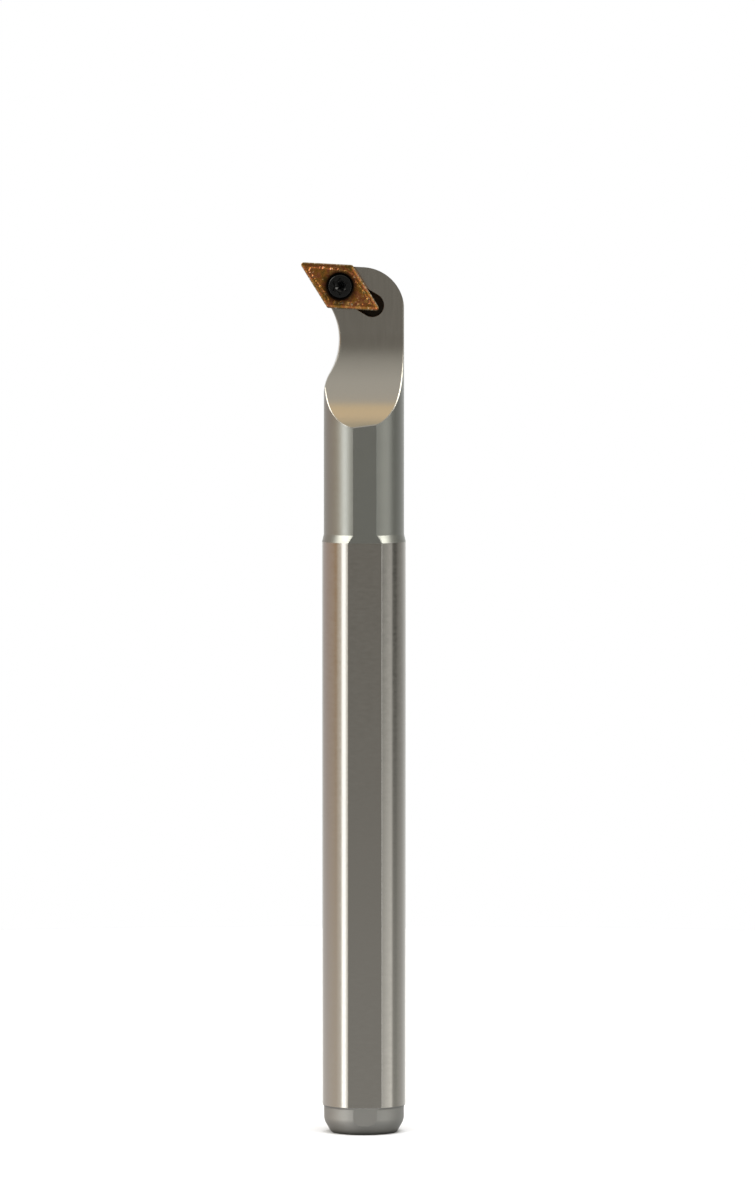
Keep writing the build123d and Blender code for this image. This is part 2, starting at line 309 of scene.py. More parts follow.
# ---------------------------------------------------------------- bar
def rounded_profile(corners, pieces=6):
    """A turned outline of (height, radius) corners, each corner with its own small radius."""
    points = [corners[0][:2]]
    for before, corner, after in zip(corners, corners[1:], corners[2:]):
        here = np.array(corner[:2])
        back, on = np.array(before[:2]) - here, np.array(after[:2]) - here
        back, on = back / np.linalg.norm(back), on / np.linalg.norm(on)
        half_angle = acos(float(back @ on)) / 2
        if corner[2] == 0:
            points.append(tuple(here))
            continue
        centre = here + (back + on) / np.linalg.norm(back + on) * corner[2] / sin(half_angle)
        first = here + back * corner[2] / tan(half_angle) - centre
        last = here + on * corner[2] / tan(half_angle) - centre
        for k in range(pieces + 1):
            share = k / pieces
            mixed = first * (1 - share) + last * share
            points.append(tuple(centre + mixed / np.linalg.norm(mixed) * corner[2]))
    points.append(corners[-1][:2])
    return np.array(points)


def clipped(outline, normal, limit):
    """The part of a convex outline on the near side of a line."""
    depth = outline @ normal - limit
    kept = []
    for k, point in enumerate(outline):
        nxt = (k + 1) % len(outline)
        if depth[k] <= 0:
            kept.append(point)
        if (depth[k] < 0) != (depth[nxt] < 0) and depth[k] != depth[nxt]:
            share = depth[k] / (depth[k] - depth[nxt])
            kept.append(point + (outline[nxt] - point) * share)
    return np.array(kept)


def bevelled(outline, width):
    """A convex outline with a bevel of one width on each of its sharp corners."""
    result = outline
    for before, corner, after in zip(np.roll(outline, 1, 0), outline, np.roll(outline, -1, 0)):
        first, second = corner - before, after - corner
        if min(np.linalg.norm(first), np.linalg.norm(second)) < 1e-7:
            continue
        normals = [np.array((side[1], -side[0])) / np.linalg.norm(side) for side in (first, second)]
        turn = acos(min(1.0, float(normals[0] @ normals[1])))
        if turn > SHARP_CORNER:
            middle = (normals[0] + normals[1]) / np.linalg.norm(normals[0] + normals[1])
            result = clipped(result, middle, middle @ corner - width / 2 * tan(turn / 2))
    return result


def milled(z):
    """How far the milled face or its run-out lies out from the axis."""
    below = FACE_START - z
    if below <= 0:
        return face_depth
    if below >= RUNOUT_RADIUS:
        return CLEAR
    return face_depth + RUNOUT_RADIUS - sqrt(RUNOUT_RADIUS**2 - below**2)


def build_bar():
    """The turned and milled bar, swept in level sections and then cut for the head and the seat."""
    lathe_line = rounded_profile([
        (0.0, PILOT_RADIUS - END_CHAMFER_DEPTH - 1.0, 0),
        (0.0, PILOT_RADIUS - END_CHAMFER_DEPTH, END_CHAMFER_ROUNDS[0]),
        (END_CHAMFER_LENGTH, PILOT_RADIUS, END_CHAMFER_ROUNDS[1]),
        (PILOT_LENGTH - PILOT_STEP, PILOT_RADIUS, PILOT_STEP_ROUNDS[0]),
        (PILOT_LENGTH, SHANK_RADIUS, PILOT_STEP_ROUNDS[1]),
        (NECK_START, SHANK_RADIUS, NECK_STEP_ROUND),
        (NECK_START + STEP_LENGTH, NECK_RADIUS, NECK_STEP_ROUND),
        (LENGTH, NECK_RADIUS, 0),
    ])
    full_radius = (NECK_RADIUS + TIP_OFFSET - SUPPORT_SETBACK) / 2
    arcs_across = BLEND_RADIUS + RELIEF_RADIUS + WAIST_OFFSET - NECK_RADIUS
    arcs_along = sqrt((BLEND_RADIUS + RELIEF_RADIUS) ** 2 - arcs_across**2)
    shoulder = np.array((BLEND_RADIUS - NECK_RADIUS, WAIST_HEIGHT - arcs_along))
    hollow = np.array((-WAIST_OFFSET - RELIEF_RADIUS, WAIST_HEIGHT))
    touch = shoulder + (hollow - shoulder) * BLEND_RADIUS / (BLEND_RADIUS + RELIEF_RADIUS)

    def contour(z):
        """The left limit of the head beside the hollow."""
        if z <= shoulder[1]:
            return -CLEAR
        if z <= touch[1]:
            return shoulder[0] - sqrt(BLEND_RADIUS**2 - (z - shoulder[1]) ** 2)
        if z < hollow[1] + RELIEF_RADIUS:
            return hollow[0] + sqrt(RELIEF_RADIUS**2 - (z - hollow[1]) ** 2)
        return -CLEAR

    # A narrow bevel where the run-out meets the front flat.
    meets = Vector((0, -HALF_FLATS, FLAT_TOP))
    bevel = (rake_out * cos(runout_turn) + up * sin(runout_turn) + Vector((0, -1, 0))).normalized()
    bevel_across = hypot(bevel.x, bevel.y)
    bevel_limit = bevel.dot(meets) - RIM_EDGE / 2 * tan(runout_turn / 2)

    def line_limits(z):
        """Each straight side of the section: the direction it faces and its distance out."""
        at_flat = abs(z - meets.z) < 1
        beside = (bevel_limit - bevel.z * z) / bevel_across if at_flat else CLEAR
        return [
            ((0, 1), HALF_FLATS),
            ((0, -1), HALF_FLATS),
            ((rake_out.x, rake_out.y), milled(z)),
            ((-1, 0), -contour(z)),
            ((bevel.x / bevel_across, bevel.y / bevel_across), beside),
        ]

    # The section's corners by direction, with a pair close beside each straight side's direction.
    beside_side = 1e-4
    base = np.radians(np.arange(0.5, 360, 2.0))
    steps = [(a, a) for a in base]
    for normal, _ in line_limits(LENGTH):
        facing = atan2(normal[1], normal[0]) % (2 * pi)
        steps += [(facing - beside_side, facing), (facing + beside_side, facing)]
    steps.sort()
    pick = np.array([(cos(a), sin(a)) for a, _ in steps])
    push = np.array([(cos(a), sin(a)) for _, a in steps])

    # Heights of the sections: closer together where the outline bends.
    closest = 0.008
    levels = list(lathe_line[:, 0])
    levels += list(np.linspace(END_CHAMFER_LENGTH * 0.6, END_CHAMFER_LENGTH * 0.9, 6))
    levels += [meets.z - 0.55 + 0.05 * k for k in range(28)]
    levels += [FACE_START - RUNOUT_RADIUS * sin(radians(a)) for a in np.arange(0, 44, 0.75)]
    for centre, radius, low, high in (
        (shoulder, BLEND_RADIUS, shoulder[1], touch[1]),
        (hollow, RELIEF_RADIUS, touch[1], hollow[1] + RELIEF_RADIUS),
    ):
        first, last = (np.arcsin(np.clip((h - centre[1]) / radius, -1, 1)) for h in (low, high))
        levels += list(centre[1] + radius * np.sin(np.arange(first, last, radians(1.5))))
    levels += list(np.linspace(SWELL_START, SWELL_END, 12)) + [LENGTH]
    kept = [0.0]
    for z in sorted(levels):
        if z - kept[-1] > closest:
            kept.append(z)
    # The first section closes the rear end inside the rounded rim.
    sections = [(0.0, float(lathe_line[0, 1]))]
    heights, radii = lathe_line[1:].T
    sections += [(z, float(np.interp(z, heights, radii))) for z in kept]

    rings = []
    for z, radius in sections:
        grown = np.clip((z - SWELL_START) / (SWELL_END - SWELL_START), 0, 1)
        left_radius = radius + (full_radius - NECK_RADIUS) * grown
        left_centre = (NECK_RADIUS - full_radius) * grown
        outline = np.stack((np.cos(base), np.sin(base)), 1)
        right = outline[:, 0] >= 0
        outline = np.where(
            right[:, None],
            outline * (radius - EDGE_ROUND),
            outline * (left_radius - EDGE_ROUND) + (left_centre, 0),
        )
        for normal, limit in line_limits(z):
            outline = clipped(outline, np.array(normal), limit - EDGE_ROUND)
        outline = bevelled(outline, FLAT_EDGE if z < meets.z - 0.5 else RIM_EDGE)
        nearest = np.argmax(outline @ pick.T, axis=0)
        ring = outline[nearest] + push * EDGE_ROUND
        rings.append([(x, y, z) for x, y in ring])
    points = [p for ring in rings for p in ring]
    bar = new_piece("bar_body", points, ring_faces(len(rings), len(steps)))
    tidy(bar)
    cut(bar, [front_cut(), side_cut(), seat_cut(), corner_cut(), hole_cut()])
    tidy(bar)
    return bar


# ---------------------------------------------------------------- insert
INSERT_HOLE_RADIUS = 1.4
SINK_RADIUS = 2.0
SINK_SLOPE = tan(radians(30.0))
LAND = 0.15
LAND_DROP = 0.022               # the land slopes down to the edge
BREAKER_WIDTH = 0.40
BREAKER_DEPTH = 0.12
GROOVE_ROUND = 0.06
ISLAND_REACH = 5.25
ISLAND_HALF_WIDTH = 2.45
ISLAND_SLOPE = 0.25
FOOT_ROUNDS = (0.48, 1.38)       # at the long and the short corners of the island
TOP_ROUNDS = (0.3, 1.2)
ISLAND_BELOW = 0.05
HONE = 0.03
DOME_SPACING = 0.66
DOME_RADIUS = 0.17
DOME_HEIGHT = 0.12
DOME_BELOW_EDGE = 0.005         # no dome stands above the cutting edge
WORN_ABOVE = 0.07               # domes higher than this have a rubbed coat


def rhombus(half_x, half_y, end_radius, side_radius, end_steps=14, side_steps=12, straight=130):
    """Points round a rhombus whose corners on X and on Y are rounded, always the same number."""
    corner_turn = atan2(half_x, half_y)
    lean = pi / 2 - corner_turn
    corners = [
        (
            Vector((half_x - end_radius / sin(lean), 0)), end_radius,
            -corner_turn, corner_turn, end_steps,
        ),
        (
            Vector((0, half_y - side_radius / cos(lean))), side_radius,
            corner_turn, pi - corner_turn, side_steps,
        ),
    ]
    points = []
    for turn in (0, pi):
        for centre, radius, first, last, steps in corners:
            middle = -centre if turn else centre
            for k in range(steps + 1):
                a = turn + first + (last - first) * k / steps
                points.append(middle + Vector((cos(a), sin(a))) * radius)
            points.append(None)
    outline = []
    for k, point in enumerate(points):
        if point is not None:
            outline.append(point)
            continue
        start, end = points[k - 1], points[(k + 1) % len(points)]
        outline += [start.lerp(end, share / straight) for share in range(1, straight)]
    return outline


def inset(distance, radius):
    """The insert's outline drawn in by a distance square to its sides."""
    scale = (HALF_CIRCLE - distance) / HALF_CIRCLE
    return rhombus(half_long * scale, half_short * scale, radius, radius)


def between(first, last, share):
    """A ring of points part of the way from one ring to another."""
    return [a.lerp(b, share) for a, b in zip(first, last)]


island_foot = rhombus(
    ISLAND_REACH + 2 * ISLAND_SLOPE, ISLAND_HALF_WIDTH + ISLAND_SLOPE, *FOOT_ROUNDS
)
island_top = rhombus(ISLAND_REACH, ISLAND_HALF_WIDTH, *TOP_ROUNDS)
# Small uneven domes stand along the inner side of the chip groove: where each is, and its size.
chance = random.Random(5)
domes, walked, gap = [], 0.0, DOME_SPACING
for here, there in zip(island_foot, island_foot[1:] + island_foot[:1]):
    walked += (there - here).length
    if walked > gap:
        walked, gap = 0.0, DOME_SPACING * chance.uniform(0.5, 1.6)
        domes.append((here * chance.uniform(0.93, 1.01), chance.uniform(0.5, 1.15)))


def dome_rise(p):
    """How far the domes raise a place on the rake face."""
    return sum(
        DOME_HEIGHT * size * exp(-((p - at).length / (DOME_RADIUS * size)) ** 2)
        for at, size in domes
    )


def build_insert():
    """The insert as one closed loft: up its sides, over the rake face and down its hole."""
    lean = tan(CLEARANCE)
    bottom = inset(THICKNESS * lean, NOSE_RADIUS - THICKNESS * lean)
    edge = inset(0, NOSE_RADIUS)
    land = inset(LAND, NOSE_RADIUS - LAND)
    groove = inset(LAND + BREAKER_WIDTH, GROOVE_ROUND)

    def circle(radius):
        """A round ring with a point for each point of the island's outline."""
        return [p.normalized() * radius for p in island_top]

    sink_depth = (SINK_RADIUS - INSERT_HOLE_RADIUS) / SINK_SLOPE
    rings = [(circle(INSERT_HOLE_RADIUS), -THICKNESS), (bottom, -THICKNESS)]
    rings += [(between(bottom, edge, k / 4), -THICKNESS * (1 - k / 4)) for k in (1, 2, 3)]
    hone_start = (HONE + LAND_DROP) * lean
    rings += [
        (inset(drawn_in, NOSE_RADIUS - drawn_in), -LAND_DROP - below)
        for drawn_in, below in ((hone_start, HONE), (HONE * 0.45, HONE * 0.35), (HONE * 1.2, 0))
    ]
    rings += [(land, 0)]
    rings += [
        (between(land, groove, k / 8), -BREAKER_DEPTH * sin(k / 8 * pi / 2)) for k in range(1, 9)
    ]
    rise = BREAKER_DEPTH - ISLAND_BELOW
    rings += [(between(groove, island_foot, k / 3), -BREAKER_DEPTH) for k in (1, 2)]
    rings += [
        (between(island_foot, island_top, k / 8), -BREAKER_DEPTH + rise * (1 - cos(k / 8 * pi)) / 2)
        for k in range(9)
    ]
    mouth = SINK_RADIUS - ISLAND_BELOW * SINK_SLOPE
    rings += [
        (between(island_top, circle(mouth + HONE), (k / 16) ** 1.6), -ISLAND_BELOW)
        for k in range(1, 17)
    ]
    rings += [
        (circle(mouth), -ISLAND_BELOW - HONE),
        (circle(INSERT_HOLE_RADIUS), -sink_depth), (circle(INSERT_HOLE_RADIUS), -THICKNESS),
    ]

    def lift(p, z):
        """How far a place on the rake face is raised, never above the edge's level."""
        if not -BREAKER_DEPTH - 1e-6 <= z < 0 or p.length < SINK_RADIUS:
            return 0.0
        return min(dome_rise(p), -DOME_BELOW_EDGE - z)

    around = len(edge)
    points = [insert_frame @ Vector((p.x, p.y, z + lift(p, z))) for ring, z in rings for p in ring]
    piece = new_piece("coated_insert", points, ring_faces(len(rings), around, closed_ends=False))
    tidy(piece)
    return piece


# ---------------------------------------------------------------- screw
THREAD_PITCH = 0.45
THREAD_DEPTH = 0.24
SCREW_LENGTH = 5.5
HEAD_RADIUS = 1.725
RIM_HEIGHT = 0.14
SEAT_CLEARANCE = 0.02
CROWN_WIDTH = 0.22              # the head's edge is crowned
TIP_CHAMFER = 0.35
LOBES = 6
LOBE_RADIUS = 0.18
LOBE_AT = 2.39 / 2 - LOBE_RADIUS
VALLEY = 1.75 / 2
SOCKET_DEPTH = 0.90
SOCKET_DRILL = 0.80
SOCKET_LIP = (0.05, 0.03)       # depth and width of the broken edge at the socket's mouth
CREST_SHARE = 0.12              # of half a pitch, flat on the thread's crest
FLANK_SHARE = 0.63
SOCKET_SHADE_FROM, SOCKET_SHADE_TO = -1.1, -0.1  # the heights between which the socket is dull and painted a little darker as shade


def socket_ring(around, wider=0.0):
    """Six round lobes and six round valleys, given by the distance out at each angle."""
    half_step = pi / LOBES
    beside = LOBE_AT * cos(half_step)
    spread = LOBE_AT**2 + VALLEY**2 - 2 * beside * VALLEY - LOBE_RADIUS**2
    valley_radius = spread / 2 / (LOBE_RADIUS + beside - VALLEY)
    valley_at = VALLEY + valley_radius
    radii = []
    for k in range(around):
        turn = 2 * pi * k / around
        off = (turn + half_step) % (2 * half_step) - half_step
        off_valley = half_step - abs(off)
        out = LOBE_RADIUS**2 - (LOBE_AT * sin(off)) ** 2
        lobe = LOBE_AT * cos(off) + sqrt(out) if out > 0 else 0
        inner = valley_radius**2 - (valley_at * sin(off_valley)) ** 2
        valley = valley_at * cos(off_valley) - sqrt(inner) if inner > 0 else 2
        radii.append(max(lobe, min(valley, LOBE_AT + LOBE_RADIUS)) + wider)
    return radii


def build_screw():
    """The screw from its socket out over the head and down its turning thread to the point."""
    around = 120
    gap = SEAT_CLEARANCE / cos(radians(30.0))
    cone_top = (HEAD_RADIUS + gap - SINK_RADIUS) / SINK_SLOPE
    cone_end = (THREAD_RADIUS + gap - SINK_RADIUS) / SINK_SLOPE
    top = cone_top + RIM_HEIGHT
    tip = top - SCREW_LENGTH
    floor = top - SOCKET_DEPTH
    lip_depth, lip_width = SOCKET_LIP
    rings = [([0.02] * around, floor - SOCKET_DRILL * tan(radians(30.0)))]
    rings += [([SOCKET_DRILL] * around, floor), (socket_ring(around), floor)]
    rings += [(socket_ring(around), top - lip_depth), (socket_ring(around, lip_width), top)]
    for step in range(9):
        turn = step / 8 * pi / 2
        radius = HEAD_RADIUS - CROWN_WIDTH * (1 - sin(turn))
        rings.append(([radius] * around, top - RIM_HEIGHT * (1 - cos(turn))))
    rings.append(([THREAD_RADIUS] * around, cone_end))
    levels = int((cone_end - tip) / THREAD_PITCH * 12)
    for level in range(1, levels + 1):
        z = cone_end + (tip - cone_end) * level / levels
        fade = min(1, (cone_end - z) / THREAD_PITCH)
        blunt = THREAD_RADIUS - max(0, tip + TIP_CHAMFER - z)
        ring = []
        for k in range(around):
            phase = (z / THREAD_PITCH + k / around) % 1
            flank = min(1, max(0, (abs(2 * phase - 1) - CREST_SHARE) / FLANK_SHARE))
            ring.append(min(blunt, THREAD_RADIUS - fade * THREAD_DEPTH * flank))
        rings.append((ring, z))
    turn = [(cos(2 * pi * k / around), sin(2 * pi * k / around)) for k in range(around)]
    points = [
        insert_frame @ Vector((r * c, r * s, z))
        for ring, z in rings for r, (c, s) in zip(ring, turn)
    ]
    piece = new_piece("screw_body", points, ring_faces(len(rings), around))
    tidy(piece)
    return piece


# ---------------------------------------------------------------- materials
# Sockets of a Mix node that mixes colours.
SHARE, FIRST, SECOND, MIXED = 0, 6, 7, 2


def linear(hex_colour):
    """An sRGB hex colour as the linear colour that a shader takes."""
    parts = [int(hex_colour[k:k + 2], 16) / 255 for k in (1, 3, 5)]
    return [c / 12.92 if c <= 0.04045 else ((c + 0.055) / 1.055) ** 2.4 for c in parts] + [1.0]


def add(tree, kind, inputs=None, stops=(), **settings):
    """A shader node with its settings, inputs (linked or set) and (position, colour) stops."""
    node = tree.nodes.new("ShaderNode" + kind)
    for name, value in settings.items():
        setattr(node, name, value)
    for name, value in (inputs or {}).items():
        if isinstance(value, bpy.types.NodeSocket):
            tree.links.new(value, node.inputs[name])
        else:
            node.inputs[name].default_value = value
    if stops:
        elements = node.color_ramp.elements
        while len(elements) < len(stops):
            elements.new(0.5)
        for element, (position, _) in zip(elements, stops):
            element.position = position
        for element, (_, colour) in zip(elements, stops):
            element.color = colour
    return node


def new_material(name):
    """A new material, its tree and its main shader."""
    material = bpy.data.materials.new(name)
    material.use_nodes = True
    return material, material.node_tree, material.node_tree.nodes["Principled BSDF"]


def plain_metal(name, colour, roughness, marks=(0.5, 0.5, 0.5), depth=0.0, spread=0.0):
    """Bare metal whose tool marks are noise, stretched by its scale per millimetre on each axis."""
    material, tree, shader = new_material(name)
    shader.inputs["Base Color"].default_value = linear(colour)
    shader.inputs["Metallic"].default_value = 1.0
    place = add(tree, "TexCoord").outputs["Object"]
    scale = [m / MM for m in marks]
    stretched = add(tree, "Mapping", {"Vector": place, "Scale": scale}).outputs[0]
    noise = add(tree, "TexNoise", {"Vector": stretched, "Scale": 1.0, "Detail": 3.0}).outputs["Fac"]
    levels = {"Value": noise, "From Min": 0.3, "From Max": 0.7}
    levels |= {"To Min": roughness - spread, "To Max": roughness + spread}
    rough = add(tree, "MapRange", levels).outputs[0]
    marks_up = {"Height": noise, "Strength": 1.0, "Distance": depth * MM}
    height = add(tree, "Bump", marks_up).outputs[0]
    tree.links.new(rough, shader.inputs["Roughness"])
    tree.links.new(height, shader.inputs["Normal"])
    return material


# Alloy steel, hardened, cylindrically ground and polished: nearly a mirror, so the shank shows the
# studio as crisp upright stripes. Its grit lines are 0.02 mm apart, drawn ten times coarser to
# show.
ground_steel = plain_metal("ground_steel", "#c4c1bb", 0.15, (0.9, 0.9, 2.2), 0.0009, 0.03)
# The same steel turned with a 0.2 mm feed and then bead blasted: satin, with soft wide highlights.
turned_steel = plain_metal("turned_steel", "#a6a8a3", 0.33, (0.2, 0.2, 5.0), 0.0009, 0.03)
# Finish milled with a cutter that ran along the bar: fine lengthwise streaks in a silky face. The
# streaks are 0.1 mm apart, drawn three times coarser to show.
milled_steel = plain_metal("milled_steel", "#c0bcb4", 0.19, (3.5, 3.5, 0.25), 0.0012, 0.03)
# Milled pocket and drilled corner: dull, and painted dark brown as the shade in the recess.
shaded_pocket_steel = plain_metal("shaded_pocket_steel", "#3a342c", 0.45)
# The rear pilot, left blasted and unpolished: an even grey without clear reflections.
matte_steel = plain_metal("matte_steel", "#b4b4b2", 0.56, (6.0, 6.0, 6.0), 0.004, 0.04)
# The insert's hole and countersink: bare sintered carbide, painted brown black as the shade in the
# hole.
shaded_bore = plain_metal("shaded_bore", "#1c140e", 0.5)

# Painted shade darkens the coat from the screw's edge out to this distance.
HOLE_SHADE_FROM, HOLE_SHADE_TO = 1.98, 2.8


# Tungsten carbide pressed and sintered to shape, tumbled, and coated by arc vapour deposition with
# a few thousandths of titanium aluminium nitride. The coat is a bronze mirror with a fine
# orange-peel grain that wears brighter on raised places.
def coating(name, tints, worn_colour, wear_from, wear_to):
    """The coat in patches of its tints, worn to another colour where its grain stands highest."""
    material, tree, shader = new_material(name)
    place = add(tree, "TexCoord").outputs["Object"]
    scaled = add(tree, "Mapping", {"Vector": place, "Scale": (1 / MM, 1 / MM, 1 / MM)}).outputs[0]
    patches = {"Vector": scaled, "Scale": 0.9, "Detail": 3.0, "Roughness": 0.6}
    patches = add(tree, "TexNoise", patches).outputs["Fac"]
    stops = list(zip((0.36, 0.46, 0.54, 0.64), (linear(c) for c in tints)))
    tint = add(tree, "ValToRGB", {"Fac": patches}, stops).outputs["Color"]
    grain = {"Vector": scaled, "Scale": 3.0, "Detail": 2.5, "Roughness": 0.55}
    grain = add(tree, "TexNoise", grain).outputs["Fac"]
    worn = {"Value": grain, "From Min": wear_from, "From Max": wear_to}
    worn = add(tree, "MapRange", worn).outputs[0]
    coat = {SHARE: worn, FIRST: tint, SECOND: linear(worn_colour)}
    coat = add(tree, "Mix", coat, data_type="RGBA").outputs[MIXED]
    # Near the screw the coat is mixed towards brown black: painted shade round the hole's mouth.
    middle = insert_middle * MM
    out = add(tree, "VectorMath", {0: place, 1: middle}, operation="SUBTRACT").outputs[0]
    across = add(tree, "VectorMath", {0: out, 1: rake_out}, operation="CROSS_PRODUCT").outputs[0]
    away = add(tree, "VectorMath", {0: across}, operation="LENGTH").outputs["Value"]
    shade_range = {"Value": away, "From Min": HOLE_SHADE_FROM * MM, "From Max": HOLE_SHADE_TO * MM}
    shade_range |= {"To Min": 0.95, "To Max": 0.0}
    near_hole_shade = add(tree, "MapRange", shade_range).outputs[0]
    seen = {SHARE: near_hole_shade, FIRST: coat, SECOND: linear("#2a1810")}
    seen = add(tree, "Mix", seen, data_type="RGBA").outputs[MIXED]
    rough = add(tree, "MapRange", {"Value": grain, "To Min": 0.14, "To Max": 0.44}).outputs[0]
    dents = add(tree, "Bump", {"Height": grain, "Strength": 1.0, "Distance": 0.034 * MM}).outputs[0]
    tree.links.new(seen, shader.inputs["Base Color"])
    tree.links.new(rough, shader.inputs["Roughness"])
    tree.links.new(dents, shader.inputs["Normal"])
    shader.inputs["Metallic"].default_value = 1.0
    return material


BRONZES = ("#8a6a34", "#b87c3a", "#a86244", "#c69250")
coated_carbide = coating("coated_carbide", BRONZES, "#e8c090", 0.63, 0.74)
# On the edge and on the domes, rubbing has thinned the same coat to a paler gold.
PALE_GOLDS = ("#9c845a", "#b0966a", "#b09070", "#a48c66")
worn_coat = coating("worn_coat", PALE_GOLDS, "#f4e2c8", 0.52, 0.66)

# Alloy steel screw, hardened and blackened in hot salts, which leaves magnetite a thousandth thick
# under a film of oil: nearly black, with a soft sheen.
blackened_steel, _, shader = new_material("blackened_steel")
shader.inputs["Base Color"].default_value = linear("#070809")
shader.inputs["Roughness"].default_value = 0.16
shader.inputs["IOR"].default_value = 1.5
# Inside the socket the steel is dull and painted a little darker, as the shade in the recess.
shaded_socket, _, shader = new_material("shaded_socket")
shader.inputs["Base Color"].default_value = linear("#050606")
shader.inputs["Roughness"].default_value = 0.6

# ---------------------------------------------------------------- pieces
bar = build_bar()
for finish in (ground_steel, turned_steel, milled_steel, shaded_pocket_steel, matte_steel):
    bar.data.materials.append(finish)
GROUND, TURNED, MILLED, POCKET_SHADE, MATTE = range(5)
to_insert = insert_frame.inverted()
front_normal = side_plane(FRONT_SIDE)[1]
side_normal = side_plane(-FRONT_SIDE)[1]
FACING = 0.98                   # how squarely a face of the front or side looks their way


def finish_of(face):
    """Which finish a face of the bar has."""
    middle, normal = face.center / MM, face.normal
    seen = to_insert @ middle
    in_seat = abs(seen.y) < (half_long - seen.x) * tan(HALF_NOSE) + 0.05
    in_corner = 0 < seen.x < CORNER_CUT_REACH + CORNER_CUTTER / 2 + 0.02 and abs(seen.y) < 1.7
    outer = max(normal.dot(front_normal), normal.dot(side_normal)) > FACING
    # Faces deep in the seat, the corner cut and the tapped hole get the painted pocket shade.
    if -THICKNESS - 0.2 < seen.z < -INSERT_STAND - RIM_EDGE / 2 - 0.01:
        if (in_seat or in_corner) and not outer:
            return POCKET_SHADE
    if hypot(seen.x, seen.y) < HOLE_RADIUS + 0.02:
        return POCKET_SHADE
    if middle.z > FLAT_TOP - 1:
        on_face = rake_out.dot(middle) > milled(middle.z) - 0.1 and normal.dot(rake_out) > 0.6
        hollow_side = normal.x < -0.2 and abs(normal.y) < 0.05
        return MILLED if on_face or hollow_side or outer else TURNED
    if middle.z > NECK_START:
        return TURNED
    return GROUND if middle.z > PILOT_LENGTH - 0.01 else MATTE


for face in bar.data.polygons:
    face.material_index = finish_of(face)
smooth(bar, 7.5)
insert = build_insert()
for finish in (coated_carbide, shaded_bore, worn_coat):
    insert.data.materials.append(finish)
for face in insert.data.polygons:
    seen = to_insert @ (face.center / MM)
    outwards = abs(seen.x) * sin(HALF_NOSE) + abs(seen.y) * cos(HALF_NOSE)
    # Faces of the hole and countersink get the painted shade of the hole.
    in_shaded_bore = hypot(seen.x, seen.y) < SINK_RADIUS - 0.01 and seen.z > -THICKNESS + 0.01
    on_edge = outwards > HALF_CIRCLE - LAND and seen.z > -HONE - LAND_DROP
    on_dome = seen.z > -BREAKER_DEPTH and dome_rise(seen.xy) > WORN_ABOVE
    face.material_index = 1 if in_shaded_bore else 2 if on_edge or on_dome else 0
smooth(insert)
screw = build_screw()
screw.data.materials.append(blackened_steel)
screw.data.materials.append(shaded_socket)
for face in screw.data.polygons:
    seen = to_insert @ (face.center / MM)
    in_shaded_lobes = hypot(seen.x, seen.y) < LOBE_AT + LOBE_RADIUS
    face.material_index = int(in_shaded_lobes and SOCKET_SHADE_FROM < seen.z < SOCKET_SHADE_TO)
smooth(screw)
for piece, node, finish in (
    (bar, "boring_bar", "ground_steel"),
    (insert, "insert", "coated_carbide"),
    (screw, "clamp_screw", "blackened_steel"),
):
    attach(piece, "root")
    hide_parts(node)
for node, finish in (
    ("boring_bar", ground_steel), ("insert", coated_carbide), ("clamp_screw", blackened_steel),
):
    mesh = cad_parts[node].data
    mesh.materials.clear()
    mesh.materials.append(finish)

# ---------------------------------------------------------------- studio
bpy.ops.mesh.primitive_circle_add(vertices=96, radius=0.3, fill_type="NGON")
floor = bpy.context.object
floor.name = "studio_floor"
# Matte white backdrop paper, which shows the contact shadow and little else.
paper, paper_tree, paper_shader = new_material("white_paper")
paper_shader.inputs["Base Color"].default_value = linear("#eef0f4")
paper_shader.inputs["Roughness"].default_value = 0.9
# Polished steel mirrors the paper only close to its foot; further out it mirrors the studio.
# There it mirrors a painted shade, from near black at the contact to mid grey, that the camera
# never sees. Distances from the bar's axis, in metres.
DARK_FROM, CLEAR_FROM, CLEAR_BY = 0.0047, 0.0050, 0.0062
spot = add(paper_tree, "TexCoord").outputs["Object"]
from_foot = add(paper_tree, "VectorMath", {0: spot}, operation="LENGTH").outputs["Value"]
shades = [(0.0, linear("#0c0b0a")), (0.25, linear("#3a3835")), (1.0, linear("#8c8984"))]
under = {"Value": from_foot, "From Min": DARK_FROM, "From Max": CLEAR_BY}
under = add(paper_tree, "MapRange", under).outputs[0]
contact = add(paper_tree, "ValToRGB", {"Fac": under}, shades)
shade = add(paper_tree, "BsdfDiffuse", {"Color": contact.outputs["Color"]})
far_off = {"Value": from_foot, "From Min": CLEAR_FROM, "From Max": CLEAR_BY}
far_off = add(paper_tree, "MapRange", far_off).outputs[0]
mirrored = add(paper_tree, "LightPath").outputs["Is Glossy Ray"]
gone = add(paper_tree, "Math", {0: far_off, 1: mirrored}, operation="MULTIPLY")
clear = add(paper_tree, "BsdfTransparent")
in_steel = {0: mirrored, 1: paper_shader.outputs[0], 2: shade.outputs[0]}
in_steel = add(paper_tree, "MixShader", in_steel).outputs[0]
paper_mix = {0: gone.outputs[0], 1: in_steel, 2: clear.outputs[0]}
paper_mix = add(paper_tree, "MixShader", paper_mix)
paper_tree.links.new(paper_mix.outputs[0], paper_tree.nodes["Material Output"].inputs["Surface"])
floor.data.materials.append(paper)

CAMERA_TURN = radians(1.8)
world = bpy.data.worlds.new("studio")
bpy.context.scene.world = world
world.use_nodes = True
sky = world.node_tree
sky.nodes.clear()
ray = add(sky, "SeparateXYZ", {"Vector": add(sky, "TexCoord").outputs["Generated"]})
towards = add(sky, "Math", {0: ray.outputs["Y"], 1: -1.0}, operation="MULTIPLY")
azimuth = add(sky, "Math", {0: ray.outputs["X"], 1: towards.outputs[0]}, operation="ARCTAN2")
azimuth_share = add(
    sky, "MapRange", {"Value": azimuth.outputs[0], "From Min": -pi, "From Max": pi}
)
